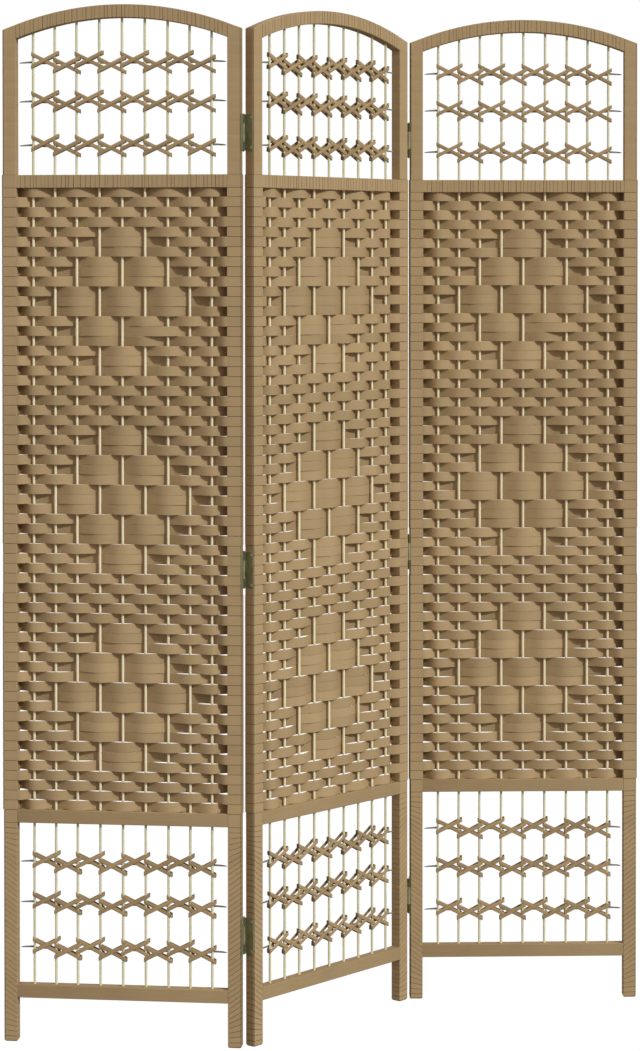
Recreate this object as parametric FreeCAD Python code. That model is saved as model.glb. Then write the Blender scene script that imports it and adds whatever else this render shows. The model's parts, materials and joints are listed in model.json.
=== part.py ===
"""Three-panel folding screen: timber frames filled with a diamond weave of flat fibre strip.

Each panel is built upright in its own frame, with X along its width, Y through its depth (front at
-Y, middle of the frame at 0) and Z up from the floor. The panels are then set in their zigzag about
the two hinge lines and the whole is centred over the origin, with its feet at Z = 0.
Lengths are in millimetres and angles in degrees.
"""

import FreeCAD, Part
import itertools
import math
import os

# Frame of one panel
panel_width = 396.0
frame_depth = 19.2
post_width = 22.4
post_chamfer = 2.0
peak_height = 1706.7
arch_radius = 500.0
rail_height = 21.6
upper_rail_drop = 278.2
lower_rail_foot = 362.0
bottom_rail_foot = 72.8

# Upright rods that carry the weave
rod_count = 9
rod_sides = 6
rod_inner_bays = 2
rod_across = 3.8
rod_play = 0.1
rod_end_gap = 27.2
rod_inner_pitch = 37.9

# Woven strips
weft_rows = 63
weft_thick = 1.0
weft_gap = 0.4
weft_swing = 8.0
weft_end_swing = 7.4

# Raised diamonds: each starts at a row, and is made of block rows three strips deep
diamond_first_rows = (5, 25, 45)
diamond_blocks = ((5,), (4, 6), (3, 5, 7), (4, 6), (5,))
block_strips = 3
weave_slip = (15, 7)

# Crossed ties and the wires behind them in the open lattices
tie_width = 5.0
tie_thick = 0.8
tie_layer_gap = 0.2
tie_slope = 0.5
tie_reach_left = 2.7
tie_reach_right = 5.0
tie_high = 3.0
tie_low = -5.3
upper_tie_low = 48.0
upper_tie_middle = 120.0
upper_tie_high = 184.0
lower_tie_low = 66.5
lower_tie_middle = 140.5
lower_tie_high = 207.0
wire_across = 2.4
wire_rod_gap = 0.2

# Butt hinges on the facing sides of the posts
low_hinge_height = 181.0
middle_hinge_height = 782.0
high_hinge_drop = 209.7
hinge_length = 60.0
end_knuckle_length = 15.0
knuckle_gap = 0.3
panel_gap = 2.6
axis_offset = 1.4
leaf_width = 16.0
leaf_thick = 1.0
barrel_radius = 2.2
barrel_sides = 6
barrel_clearance = 0.4
pin_radius = 1.1
pin_play = 0.05

# Fold of each hinge line at rest, measured from the flat screen
ridge_fold = 56.0
valley_fold = 47.6

# Sizes that follow from the ones above
half_depth = frame_depth / 2
centre_x = panel_width / 2
inner_left = post_width
inner_right = panel_width - post_width
inner_half = centre_x - post_width
arch_centre_z = peak_height - arch_radius
arch_inner_radius = arch_radius - rail_height
arch_end_drop = math.sqrt(arch_radius**2 - inner_half**2)
arch_end_z = arch_centre_z + arch_end_drop
shoulder_z = arch_end_z - post_width * inner_half / arch_end_drop
arch_inner_end_z = arch_centre_z + math.sqrt(arch_inner_radius**2 - inner_half**2)
upper_rail_top = peak_height - upper_rail_drop
upper_rail_foot = upper_rail_top - rail_height
lower_rail_top = lower_rail_foot + rail_height
bottom_rail_top = bottom_rail_foot + rail_height
rod_slot = rod_across + 2 * rod_play
rod_outer_bays = (rod_count - 1) / 2 - rod_inner_bays
rod_outer_pitch = (inner_half - rod_end_gap - rod_inner_bays * rod_inner_pitch) / rod_outer_bays
weft_pitch = (upper_rail_foot - lower_rail_top) / weft_rows
barrel_reach = barrel_radius + barrel_clearance
hinge_heights = (low_hinge_height, middle_hinge_height, peak_height - high_hinge_drop)


def vector(x, y, z):
    """A point or direction."""
    return FreeCAD.Vector(x, y, z)


def block(x0, x1, y0, y1, z0, z1):
    """A box between two corners."""
    return Part.makeBox(x1 - x0, y1 - y0, z1 - z0, vector(x0, y0, z0))


def upright(plan, z0, z1):
    """A plan outline of (x, y) points, extruded upwards."""
    points = [vector(x, y, z0) for x, y in plan]
    return Part.Face(Part.makePolygon(points + points[:1])).extrude(vector(0, 0, z1 - z0))


def regular_plan(x, y, across, sides):
    """A regular outline with two of its flats facing front and back."""
    radius = across / 2 / math.cos(math.pi / sides)
    turns = [math.pi * (2 * k + 1) / sides + math.pi / 2 for k in range(sides)]
    return [(x + radius * math.cos(turn), y + radius * math.sin(turn)) for turn in turns]


def closed_solid(outlines):
    """A solid from the corner points of all its flat faces."""
    faces = [Part.Face(Part.makePolygon(list(points) + [points[0]])) for points in outlines]
    solid = Part.Solid(Part.Shell(faces))
    if solid.Volume < 0:
        solid.reverse()
    return solid


def ribbon(upper, lower, ridge):
    """A thin strip between two edge lines, flat on one side and ridged on the other."""
    outlines = [[line[end] for line in (upper, lower, ridge)] for end in (0, -1)]
    for a, b in ((upper, lower), (lower, ridge), (ridge, upper)):
        for i in range(len(a) - 1):
            outlines.append([a[i], b[i], b[i + 1], a[i + 1]])
    return closed_solid(outlines)


def rod_x(rod):
    """Where a rod stands across the panel: rods are numbered from 1, and the outer bays are narrower."""
    place = rod - (rod_count + 1) / 2
    inner = min(abs(place), rod_inner_bays)
    outer = abs(place) - inner
    return centre_x + math.copysign(inner * rod_inner_pitch + outer * rod_outer_pitch, place)


def arch_underside(x):
    """Height of the arched rail's underside."""
    return arch_centre_z + math.sqrt(arch_inner_radius**2 - (x - centre_x) ** 2)


def post_plan():
    """The left post's section, with its outer corners cut off."""
    return [
        (post_chamfer, -half_depth),
        (post_width, -half_depth),
        (post_width, half_depth),
        (post_chamfer, half_depth),
        (0, half_depth - post_chamfer),
        (0, post_chamfer - half_depth),
    ]


def mirrored(shape):
    """The same piece on the other side of the panel."""
    return shape.mirror(vector(centre_x, 0, 0), vector(1, 0, 0))


def left_post():
    """A post with a sloped top that runs on from the arch."""
    post = upright(post_plan(), 0, arch_end_z)
    slope = [
        vector(0, -half_depth, shoulder_z),
        vector(post_width, -half_depth, arch_end_z),
        vector(0, -half_depth, arch_end_z),
    ]
    waste = Part.Face(Part.makePolygon(slope + slope[:1])).extrude(vector(0, frame_depth, 0))
    return post.cut(waste)


def arch_rail():
    """The curved top rail between the posts."""
    left, right = inner_left, inner_right
    outer = Part.Arc(
        vector(left, -half_depth, arch_end_z),
        vector(centre_x, -half_depth, peak_height),
        vector(right, -half_depth, arch_end_z),
    )
    inner = Part.Arc(
        vector(right, -half_depth, arch_inner_end_z),
        vector(centre_x, -half_depth, arch_underside(centre_x)),
        vector(left, -half_depth, arch_inner_end_z),
    )
    right_end = Part.LineSegment(outer.EndPoint, inner.StartPoint)
    left_end = Part.LineSegment(inner.EndPoint, outer.StartPoint)
    outline = Part.Wire([line.toShape() for line in (outer, right_end, inner, left_end)])
    return Part.Face(outline).extrude(vector(0, frame_depth, 0))


def bottom_rail():
    """The straight rail near the floor, which the rods stand on."""
    return block(inner_left, inner_right, -half_depth, half_depth, bottom_rail_foot, bottom_rail_top)


def cross_rail(foot):
    """A rail of two battens that clamp the rods between them."""
    back = block(inner_left, inner_right, rod_slot / 2, half_depth, foot, foot + rail_height)
    front = block(inner_left, inner_right, -half_depth, -rod_slot / 2, foot, foot + rail_height)
    return [front, back]


def rods():
    """Upright rods from the bottom rail to the arch."""
    made = []
    for rod in range(1, rod_count + 1):
        x = rod_x(rod)
        half_width = rod_across / 2 / math.cos(math.pi / rod_sides)
        outer_edge = x + math.copysign(half_width, x - centre_x)
        plan = regular_plan(x, 0, rod_across, rod_sides)
        made.append(upright(plan, bottom_rail_top, arch_underside(outer_edge) - rod_play))
    return made


def in_front(row, rod):
    """True where a strip passes in front of a rod. Rows count down from the upper rail.

    Plain rows change sides at every rod. In a diamond, the middle strip of each block row passes in
    front of the blocks' own rods and behind the rods beside them, so three strips bulge as one.
    """
    for first in diamond_first_rows:
        block_row, strip = divmod(row - first, block_strips)
        if strip == block_strips // 2 and 0 <= block_row < len(diamond_blocks):
            centres = diamond_blocks[block_row]
            if rod in centres:
                return True
            if rod - 1 in centres or rod + 1 in centres:
                return (row, rod) == weave_slip
    return (row + rod) % 2 == 0


def weft_strip(row):
    """One strip, from post to post in and out of the rods."""
    top = upper_rail_foot - (row - 1) * weft_pitch - weft_gap / 2
    bottom = top - weft_pitch + weft_gap
    end_y = -weft_end_swing if row % 2 == 0 else weft_end_swing
    path = [(inner_left, end_y)]
    for rod in range(1, rod_count + 1):
        path.append((rod_x(rod), -weft_swing if in_front(row, rod) else weft_swing))
    path.append((inner_right, end_y))
    face = [(x, y - weft_thick / 2) for x, y in path]
    return ribbon(
        [vector(x, y, top) for x, y in face],
        [vector(x, y, bottom) for x, y in face],
        [vector(x, y + weft_thick, (top + bottom) / 2) for x, y in face],
    )


def tie_strip(bay, level, rise):
    """One arm of a crossed tie over two rods, in four faces, thickest along its middle.

    Rising arms lie in front of falling ones.
    """
    left, right = rod_x(bay), rod_x(bay + 1)
    middle = (left + right) / 2
    back = -rod_across / 2 - rod_play
    if rise > 0:
        back -= tie_thick + tie_layer_gap
    front = back - tie_thick
    half_height = tie_width / 2 * math.sqrt(1 + tie_slope**2)
    x0, x1 = left - tie_reach_left, right + tie_reach_right
    z0, z1 = (level + rise * tie_slope * (x - middle) for x in (x0, x1))
    corners = [
        vector(x0, back, z0 + half_height),
        vector(x0, back, z0 - half_height),
        vector(x1, back, z1 + half_height),
        vector(x1, front, z1 - half_height),
    ]
    return closed_solid(itertools.combinations(corners, 3))


def tie_levels():
    """Heights of the tie rows in both lattices."""
    upper = [upper_rail_top + rise for rise in (upper_tie_low, upper_tie_middle, upper_tie_high)]
    lower = [bottom_rail_top + rise for rise in (lower_tie_low, lower_tie_middle, lower_tie_high)]
    return lower + upper


def ties():
    """A crossed pair of strips in every bay of every tie row, alternately high and low."""
    made = []
    for level in tie_levels():
        for bay in range(1, rod_count):
            shift = tie_high if bay % 2 else tie_low
            made += [tie_strip(bay, level + shift, rise) for rise in (-1, 1)]
    return made


def wires():
    """A stiff wire behind the rods at each tie row, from post to post, with its flat towards the rods."""
    near = rod_across / 2 + wire_rod_gap
    far = near + wire_across
    half_height = wire_across / 2
    made = []
    for level in tie_levels():
        points = [
            vector(inner_left, near, level - half_height),
            vector(inner_left, near, level + half_height),
            vector(inner_left, far, level),
        ]
        face = Part.Face(Part.makePolygon(points + points[:1]))
        made.append(face.extrude(vector(inner_right - inner_left, 0, 0)))
    return made


def panel_pieces():
    """Every node of one panel."""
    return {
        "left_post": [left_post()],
        "right_post": [mirrored(left_post())],
        "arch_rail": [arch_rail()],
        "upper_rail": cross_rail(upper_rail_foot),
        "lower_rail": cross_rail(lower_rail_foot),
        "bottom_rail": [bottom_rail()],
        "warp_rods": rods(),
        "weft_strips": [weft_strip(row) for row in range(1, weft_rows + 1)],
        "tie_strips": ties(),
        "tie_wires": wires(),
    }


def hinge_leaf(side, face, height, spans):
    """One leaf, with its hinge line at X = Y = 0 and its knuckles at spans above the leaf's foot.

    side is -1 for the panel on the left and +1 on the right. face is +1 where the barrel is at the
    panels' back, and -1 at their front.
    """

    def piece(x0, x1, y0, y1, z0, z1):
        xs, ys = sorted((side * x0, side * x1)), sorted((face * y0, face * y1))
        return block(xs[0], xs[1], ys[0], ys[1], z0, z1)

    foot = height - hinge_length / 2
    outside = panel_gap / 2
    inside = outside - leaf_thick
    inner_edge = -axis_offset - leaf_width
    leaf = piece(inside, outside, inner_edge, -barrel_reach, foot, foot + hinge_length)
    bore = regular_plan(0, 0, 2 * (pin_radius + pin_play), barrel_sides)
    barrel = regular_plan(0, 0, 2 * barrel_radius * math.cos(math.pi / barrel_sides), barrel_sides)
    added = []
    for low, high in spans:
        added.append(piece(inside, outside, -barrel_reach, 0, foot + low, foot + high))
        added.append(upright(barrel, foot + low, foot + high))
    return leaf.fuse(added).cut(upright(bore, foot, foot + hinge_length)).removeSplitter()


def hinge_pieces(face):
    """Leaves and pins of the three hinges on one hinge line."""
    ends = [(0, end_knuckle_length), (hinge_length - end_knuckle_length, hinge_length)]
    middle = [(end_knuckle_length + knuckle_gap, hinge_length - end_knuckle_length - knuckle_gap)]
    return {
        "left_leaves": [hinge_leaf(-1, face, height, ends) for height in hinge_heights],
        "right_leaves": [hinge_leaf(1, face, height, middle) for height in hinge_heights],
        "pins": [
            Part.makeCylinder(pin_radius, hinge_length, vector(0, 0, height - hinge_length / 2))
            for height in hinge_heights
        ],
    }


def turned(angle, at, about):
    """The placement that turns a piece about its own upright line, and sets that line at a place."""
    turn = FreeCAD.Rotation(vector(0, 0, 1), angle)
    return FreeCAD.Placement(at - turn.multVec(about), turn)


def assemble():
    """All nodes in their zigzag at rest, and the two hinge lines."""
    back_y = half_depth + axis_offset
    right_axis_x = panel_width + panel_gap / 2
    left_axis_x = -panel_gap / 2
    middle_angle = ridge_fold
    right_angle = ridge_fold - valley_fold

    left_place = FreeCAD.Placement()
    ridge = vector(right_axis_x, back_y, 0)
    middle_place = turned(middle_angle, ridge, vector(left_axis_x, back_y, 0))
    valley = middle_place.multVec(vector(right_axis_x, -back_y, 0))
    right_place = turned(right_angle, valley, vector(left_axis_x, -back_y, 0))

    origin = vector(0, 0, 0)
    groups = [
        ("left_panel", left_place, panel_pieces()),
        ("middle_panel", middle_place, panel_pieces()),
        ("right_panel", right_place, panel_pieces()),
    ]
    ridge_hinges = hinge_pieces(1)
    valley_hinges = hinge_pieces(-1)
    for name, hinges, at, left_turn, right_turn in (
        ("ridge_hinge", ridge_hinges, ridge, 0, middle_angle),
        ("valley_hinge", valley_hinges, valley, middle_angle, right_angle),
    ):
        turns = {"left_leaves": left_turn, "pins": left_turn, "right_leaves": right_turn}
        for part, solids in hinges.items():
            groups.append((name, turned(turns[part], at, origin), {part: solids}))

    nodes = {}
    for group, place, pieces in groups:
        for part, solids in pieces.items():
            shape = Part.makeCompound(solids)
            shape.Placement = place
            nodes[f"{group}_{part}"] = shape
    return nodes, {"ridge": ridge, "valley": valley}


def main():
    nodes, hinge_lines = assemble()
    box = Part.makeCompound(list(nodes.values())).BoundBox
    shift = vector(-box.Center.x, -box.Center.y, 0)
    os.makedirs("parts", exist_ok=True)
    for name, shape in nodes.items():
        shape.translate(shift)
        shape.exportStep(f"parts/{name}.step")
        if not shape.isValid():
            print("not valid:", name)
    print(f"size {box.XLength:.2f} x {box.YLength:.2f} x {box.ZLength:.2f}, foot at {box.ZMin:.3f}")
    for name, line in hinge_lines.items():
        at = line + shift
        print(f"{name} hinge line at {at.x:.4f}, {at.y:.4f}")
    print(f"left panel's front left corner at {shift.x:.4f}, {shift.y - half_depth:.4f}")


main()
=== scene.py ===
"""Looks of a three-panel folding screen with a diamond weave of flat fibre strip.

The pieces of a panel are built upright in its own frame, in metres: X along the panel from its left edge,
Y through its depth with the front at -Y and the middle of the frame at 0, and Z up from the floor.
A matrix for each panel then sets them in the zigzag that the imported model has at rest. The pieces of a
hinge are built about its line and set there the same way.
"""

import json
import math
import random
from typing import NamedTuple

import bmesh
import bpy
from bpy.props import FloatProperty, FloatVectorProperty, IntProperty, PointerProperty
from mathutils import Matrix, Vector


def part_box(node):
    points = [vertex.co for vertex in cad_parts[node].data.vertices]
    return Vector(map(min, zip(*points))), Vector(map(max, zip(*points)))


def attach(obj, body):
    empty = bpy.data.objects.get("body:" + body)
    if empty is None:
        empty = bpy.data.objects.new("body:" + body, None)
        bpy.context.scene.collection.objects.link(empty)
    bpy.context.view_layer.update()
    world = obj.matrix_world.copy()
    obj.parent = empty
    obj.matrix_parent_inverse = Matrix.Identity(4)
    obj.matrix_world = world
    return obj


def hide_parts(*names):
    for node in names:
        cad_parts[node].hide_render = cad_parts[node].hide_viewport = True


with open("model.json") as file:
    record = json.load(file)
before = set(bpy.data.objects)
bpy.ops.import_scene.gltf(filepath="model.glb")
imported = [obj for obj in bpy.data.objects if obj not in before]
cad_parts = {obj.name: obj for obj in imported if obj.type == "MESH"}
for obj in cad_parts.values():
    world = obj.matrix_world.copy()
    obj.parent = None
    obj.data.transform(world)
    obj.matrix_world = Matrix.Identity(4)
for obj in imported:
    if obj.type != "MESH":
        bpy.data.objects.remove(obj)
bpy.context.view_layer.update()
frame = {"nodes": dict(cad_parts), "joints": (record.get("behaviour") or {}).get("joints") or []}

bl_info = {
    "name": "Woven folding screen",
    "version": (1, 0, 0),
    "blender": (4, 5, 0),
    "location": "3D View > Sidebar > Screen",
    "description": "Dresses the packed folding screen in its wraps, weave, ties and hinges",
    "category": "Object",
}

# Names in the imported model
PANELS = ("left_panel", "middle_panel", "right_panel")
SIDES = ("left_post", "right_post")

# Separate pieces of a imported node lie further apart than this: rods or wires, and the pins of a hinge line
SMALL_GAP = 0.010
LARGE_GAP = 0.200

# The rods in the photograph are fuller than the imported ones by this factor
ROD_FULLER = 1.14

# Room that the battens leave to each side of the rods' line, as a share of a rod's radius
BATTEN_ROOM = 1.05

# Edges that bend more than this look sharp on a piece that has no angle of its own
SHARP = math.radians(38)

# Longer side of the camera's sensor in millimetres, and how far the camera sees in metres
SENSOR = 36
CLIP_END = 200


def middles(node, axis, gap):
    """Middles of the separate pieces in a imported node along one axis, in rising order."""
    places = sorted(vertex.co[axis] for vertex in frame["nodes"][node].data.vertices)
    groups = [[places[0]]]
    for place in places[1:]:
        if place - groups[-1][-1] > gap:
            groups.append([])
        groups[-1].append(place)
    return [(group[0] + group[-1]) / 2 for group in groups]


def joint(name):
    """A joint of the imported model."""
    return next(row for row in frame["joints"] if row["name"] == name)


# Sizes and places of one panel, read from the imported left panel, which stands square to X and Y
post_low, post_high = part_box("left_panel_left_post")
upper_low, upper_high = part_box("left_panel_upper_rail")
lower_low, lower_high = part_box("left_panel_lower_rail")
bottom_low, bottom_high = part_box("left_panel_bottom_rail")
rods_low, rods_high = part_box("left_panel_warp_rods")
panel_origin = Vector((post_low.x, (post_low.y + post_high.y) / 2, 0))
panel_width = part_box("left_panel_right_post")[1].x - post_low.x
post_width = post_high.x - post_low.x
half_depth = (post_high.y - post_low.y) / 2
inner_left = post_width
inner_right = panel_width - post_width
panel_middle = panel_width / 2
rail_height = upper_high.z - upper_low.z
rod_radius = ROD_FULLER * (rods_high.y - rods_low.y) / 2
rods_across = [place - panel_origin.x for place in middles("left_panel_warp_rods", 0, SMALL_GAP)]
tie_levels = middles("left_panel_tie_wires", 2, SMALL_GAP)

# The arch is a circle through the posts' inner corners and the peak
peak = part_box("left_panel_arch_rail")[1].z
arch_end = post_high.z
half_span = panel_middle - post_width
arch_rise = peak - arch_end
arch_radius = (half_span**2 + arch_rise**2) / (2 * arch_rise)
arch_centre = peak - arch_radius
shoulder_slope = half_span / math.sqrt(arch_radius**2 - half_span**2)

# The hinge lines, and how each panel is turned at rest. The ridge's first limit and the valley's last one
# set the panels in one line
ridge_line = Vector(joint("ridge_fold")["pos_m"])
valley_line = Vector(joint("valley_fold")["pos_m"])
axis_back = ridge_line.y - panel_origin.y
axis_beside = ridge_line.x - panel_origin.x - panel_width
middle_turn = -math.radians(joint("ridge_fold")["range_deg"][0])
right_turn = middle_turn - math.radians(joint("valley_fold")["range_deg"][1])
hinge_heights = middles("ridge_hinge_pins", 2, LARGE_GAP)
hinge_length = 2 * (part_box("ridge_hinge_pins")[1].z - hinge_heights[-1])


def standing(turn, line, beside):
    """The matrix that turns a panel about a hinge line, which passes the panel's own point beside."""
    turned = Matrix.Rotation(turn, 4, "Z")
    return Matrix.Translation(line - turned @ beside) @ turned


panel_places = {
    "left_panel": Matrix.Translation(panel_origin),
    "middle_panel": standing(middle_turn, ridge_line, Vector((-axis_beside, axis_back, 0))),
    "right_panel": standing(right_turn, valley_line, Vector((-axis_beside, -axis_back, 0))),
}


def length(name, description, default):
    """A size that a user may change, in metres."""
    return FloatProperty(
        name=name, description=description, default=default, precision=5, unit="LENGTH", subtype="DISTANCE"
    )


def colour(name, description, default):
    """A colour that a user may change."""
    return FloatVectorProperty(
        name=name, description=description, default=default, size=3, min=0, max=1, subtype="COLOR"
    )


def place_or_direction(name, description, default):
    """A place in metres, or a direction, that a user may change."""
    return FloatVectorProperty(name=name, description=description, default=default, size=3, subtype="XYZ")


def share(name, description, default):
    """A plain number that a user may change."""
    return FloatProperty(name=name, description=description, default=default)


def whole_number(name, description, default):
    """A count or a seed that a user may change."""
    return IntProperty(name=name, description=description, default=default)


def angle(name, description, degrees):
    """An angle that a user may change."""
    return FloatProperty(name=name, description=description, default=math.radians(degrees), subtype="ANGLE")


class WrapSizes(bpy.types.PropertyGroup):
    """Fibre wraps of the posts and rails."""

    proud: length("Wrap thickness", "How far the wrap beside the weave stands off the timber", 0.0006)
    side_proud: length("Side thickness", "How far it stands off on the sides between two panels", 0.0012)
    seam_depth: length("Seam depth", "Depth of the groove between two turns", 0.0005)
    seam_width: length("Seam width", "Width of the groove between two turns", 0.0009)
    # Painted shade: the groove of a seam is painted darker than the wrap
    seam_painted_shade: share("Seam shade", "How much darker a seam is than the wrap", 2.1)
    seam_least: share("Faintest seam", "The faintest seam of a rail, as a share of the deepest", 0.3)
    faint_depth: length("Faint seam depth", "Depth of the grooves on the plain top of a post", 0.00002)
    corner: length("Corner", "Cut-off of a post's outer corners", 0.0020)
    # Painted shade: a post's cut outer corners, and less its outer side between two panels, are painted
    # darker
    corner_painted_shade: share("Dark corner", "How much darker the cut corners are", 1.3)
    side_painted_shade: share("Dark side", "How dark the sides between two panels are, as a share of a corner", 0.35)
    corner_line: length("Corner line", "Width over which the dark of a corner ends", 0.0002)
    inner_corner: length("Inner corner", "Rounding of a post's inner corners and of the rails", 0.0008)
    leg_turn: length("Leg turn", "Height of one turn of the legs' spiral wrap", 0.0088)
    leg_slant: share("Leg slant", "Slope of the spiral wrap across a leg", 0.72)
    leg_ease: share("Leg ease", "Share of the leg over which the spiral flattens at each end", 0.2)
    rail_turn_least: length("Narrow rail turn", "Width of the narrowest turn on a rail", 0.0042)
    rail_turn_most: length("Wide rail turn", "Width of the widest turn on a rail", 0.0092)
    rail_seam: length("Rail seam", "Width of the groove between two turns on a rail", 0.0013)
    foot_cut: length("Foot cut", "Height of the cut edges under a foot", 0.0024)
    foot_inset: length("Foot inset", "How far those edges are cut in", 0.00144)
    foot_tone: share("Foot tone", "Tone of the underside of a foot", -0.5)
    turn_tones: share("Turn tones", "How far the turns' tones vary to each side on a post", 0.12)
    rail_tones: share("Rail tones", "How far the turns' tones vary to each side on a rail", 0.06)
    batten_tone: share("Batten tone", "Tone of the smooth rails against the wraps", -0.4)
    crisp: angle("Crisp", "Edges that bend more than this look sharp", 8)
    seed: whole_number("Seed", "Order of the turns' tones on the posts", 7)
    arch_seed: whole_number("Arch seed", "Order of the uneven turns on the arch", 17)
    upper_seed: whole_number("Rail seed", "Order of the uneven turns on the upper rail", 27)


class RodSizes(bpy.types.PropertyGroup):
    """Round rods from the bottom rail to the arch."""

    thinnest: share("Thinnest", "Radius of a rod where it is thinnest, as a share of the common one", 0.95)
    thickest: share("Thickest", "Radius of a rod where it is thickest, as a share of the common one", 1.02)
    open_tone: share("Open rods", "Tone of the rods in the open lattices", -1.2)
    woven_tone: share("Woven rods", "Tone of the rods between the strips", 0.8)
    tones: share("Tones", "How far the rods' tones vary to each side", 0.4)
    steps: whole_number("Steps", "Steps of a rod from rail to rail", 8)
    sides: whole_number("Sides", "Sides of a rod", 14)
    seed: whole_number("Seed", "Order of the rods' tones and widths", 3)


class WeaveSizes(bpy.types.PropertyGroup):
    """Strips that pass in and out of the rods."""

    rows: whole_number("Rows", "Strips from rail to rail", 63)
    tuck_top: length("Tuck at the top", "How much of the first strip the upper rail takes up", 0.0012)
    tuck_foot: length("Tuck at the foot", "How much of the last strip the lower rail takes up", 0.0004)
    thick: length("Thickness", "Thickness of a strip", 0.0012)
    gap: length("Gap", "Gap between two rows", 0.00004)
    swing: length("Swing", "How far a strip swings off the rods' line", 0.0060)
    flush: length("Flush run", "How far a strip runs on beside the post before it bends", 0.0020)
    edge: length("Edge", "Rounding of a strip's edges", 0.0005)
    # Painted light and shade on the edges: the upper edge is painted lighter and the lower edge darker than
    # the face
    rim_top: share("Upper rim", "Tone of a strip's upper edge against its face", 1.0)
    rim_foot: share("Lower rim", "Tone of a strip's lower edge against its face", -1.8)
    linger: share("Linger", "Over 1, strips stay longer in front of the rods than behind them", 1.1)
    spring: share("Spring", "How much of a strip's bend runs on past a rod", 1.5)
    shade: share("Shade", "How much darker a strip is at its deepest", 0.5)
    end_shade: share("End shade", "How much darker a strip is where it comes from behind a post", 1.0)
    end_reach: length("End reach", "How far from a post that dark reaches", 0.0100)
    crest_rise: length("Crest rise", "How much wider each edge of a strip is at the front", 0.00015)
    hidden_rise: length("Hidden rise", "How much wider each edge of a strip is at its deepest", 0.0005)
    crisp: angle("Crisp", "Edges that bend more than this look sharp", 18)
    # Painted shade on the seam above a block's middle strip
    block_rim: share("Block rim", "Tone of the upper edge of a block's middle strip against its face", -1.6)
    block_reach: share("Block reach", "How far that edge reaches from its rod, as a share of a bay", 0.9)
    block_proud: length("Block proud", "How far a block's middle strip stands proud of the others", 0.0005)
    tones: share("Tones", "How far the strips' tones vary to each side", 0.25)
    steps: whole_number("Steps", "Points from rod to rod", 10)
    seed: whole_number("Seed", "Order of the strips' tones", 11)


class TieSizes(bpy.types.PropertyGroup):
    """Crossed ties of the open lattices, and the wires behind them."""

    width: length("Width", "Width of a tie strip", 0.0059)
    thick: length("Thickness", "Thickness of a tie strip", 0.0008)
    edge: length("Edge", "Rounding of a tie's edges", 0.0003)
    # Painted shade on both edges of a tie, stronger on the lower edge
    rim_top: share("Upper rim", "Tone of a tie's upper edge against its face", -0.4)
    rim_foot: share("Lower rim", "Tone of a tie's lower edge against its face", -1.6)
    layer_gap: length("Layer gap", "Gap between the layers of a cross", 0.00012)
    slope: share("Slope", "Rise of an arm across its bay", 0.5)
    reach_right: length("Right reach", "How far a loop passes its right rod", 0.0060)
    bend: length("Bend", "Radius of a loop's corners", 0.0012)
    bend_steps: whole_number("Bend steps", "Points round a corner of a loop", 4)
    # Painted shade on the back half of a loop's bends, and inside the loop towards its right end
    left_bend_painted_shade: share("Dark left bend", "How much darker the left end of a loop is", 1.7)
    right_bend_painted_shade: share("Dark right bend", "How much darker the right end of a loop is", 1.2)
    shade: share("Shade", "How much darker the inside of a loop is at its right end", 0.9)
    crisp: angle("Crisp", "Edges that bend more than this look sharp", 28)
    tone: share("Tone", "Tone of the ties against the wraps", -0.3)
    tones: share("Tones", "How far the ties' tones vary to each side", 0.3)
    spread: length("Spread", "How much deeper a loop is at its right end", 0.0036)
    high: length("High cross", "How far the odd crosses lie above the wire", 0.0040)
    low: length("Low cross", "How far the even crosses lie below the wire", 0.0040)
    lower_drop: length("Lower drop", "How far the lower lattice's rows hang below the packed wires", 0.0048)
    lower_stretch: share("Lower stretch", "How much further a row hangs, as a share of its depth", 0.0106)
    band_height: length("Band height", "Half the height of the band behind the ties", 0.0014)
    band_depth: length("Band depth", "Half the depth of that band", 0.0004)
    band_drop: length("Band drop", "How far the band lies below the ends of its wire", 0.0021)
    wire_lift: length("Wire lift", "How far the ends of the wire lie above its middle line", 0.0012)
    wire_height: length("Wire height", "Half the height of a wire where it leaves the band", 0.0019)
    wire_tip: length("Wire tip", "Half the height of a wire at its end", 0.0003)
    wire_taper: share("Taper", "How fast the end of a wire thickens, as a power of its length", 0.35)
    wire_short: length("Short of the post", "Gap from the end of a wire to the post", 0.0030)
    wire_droop: length("Droop", "How far the end of a wire hangs down", 0.0013)
    wire_sides: whole_number("Wire sides", "Sides of a wire", 10)
    seed: whole_number("Seed", "Order of the ties' tones", 5)


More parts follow.
